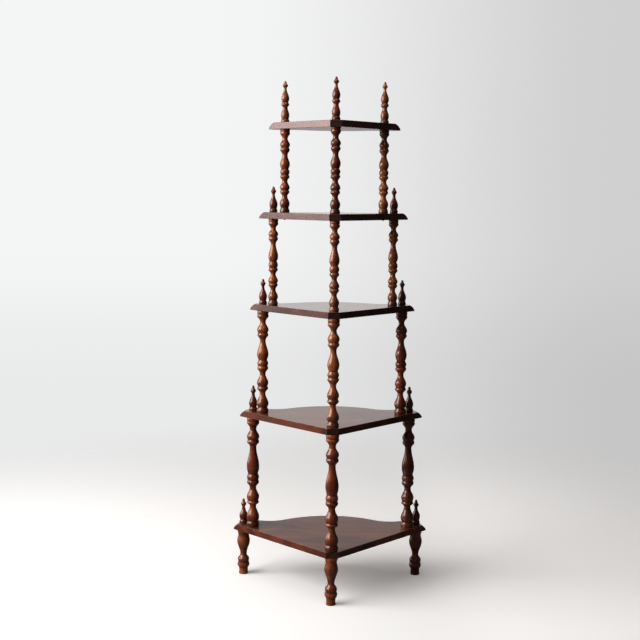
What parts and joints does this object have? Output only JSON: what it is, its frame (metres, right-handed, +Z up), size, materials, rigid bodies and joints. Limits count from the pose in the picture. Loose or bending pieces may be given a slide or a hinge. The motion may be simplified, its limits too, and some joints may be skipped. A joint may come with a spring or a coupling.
{
  "type": "corner shelf",
  "caption": "Tall open corner whatnot: serpentine-fronted shelves that narrow upwards, on turned spindles with turned legs and finials.",
  "frame": {"origin": "centre of the bounding box on the floor plane", "axes": "+Z up; the serpentine front faces -Y and the corner post stands towards +Y, where the room's walls meet; +X is to the right for someone who faces the front; the part is symmetric about the YZ plane"},
  "size_m": [0.606, 0.3948, 1.52],
  "materials": {
    "board_wood": "dark walnut-red stain under a glossy lacquer, figured boards",
    "turned_wood": "reddish brown stain under a glossy lacquer, turned on the lathe",
    "fixing_steel": "dulled steel"
  },
  "bodies": {
    "root": {"top_shelf": "board_wood", "second_shelf": "board_wood", "third_shelf": "board_wood", "fourth_shelf": "board_wood", "bottom_shelf": "board_wood", "corner_spindle_1": "turned_wood", "left_spindle_1": "turned_wood", "right_spindle_1": "turned_wood", "corner_spindle_2": "turned_wood", "left_spindle_2": "turned_wood", "right_spindle_2": "turned_wood", "corner_spindle_3": "turned_wood", "left_spindle_3": "turned_wood", "right_spindle_3": "turned_wood", "corner_spindle_4": "turned_wood", "left_spindle_4": "turned_wood", "right_spindle_4": "turned_wood", "corner_leg": "turned_wood", "left_leg": "turned_wood", "right_leg": "turned_wood", "corner_top_finial": "turned_wood", "left_top_finial": "turned_wood", "right_top_finial": "turned_wood", "left_second_finial": "turned_wood", "right_second_finial": "turned_wood", "left_third_finial": "turned_wood", "right_third_finial": "turned_wood", "left_fourth_finial": "turned_wood", "right_fourth_finial": "turned_wood", "left_bottom_finial": "turned_wood", "right_bottom_finial": "turned_wood", "dowel_screws": "fixing_steel", "spindle_screws": "fixing_steel"}
  },
  "joints": []
}
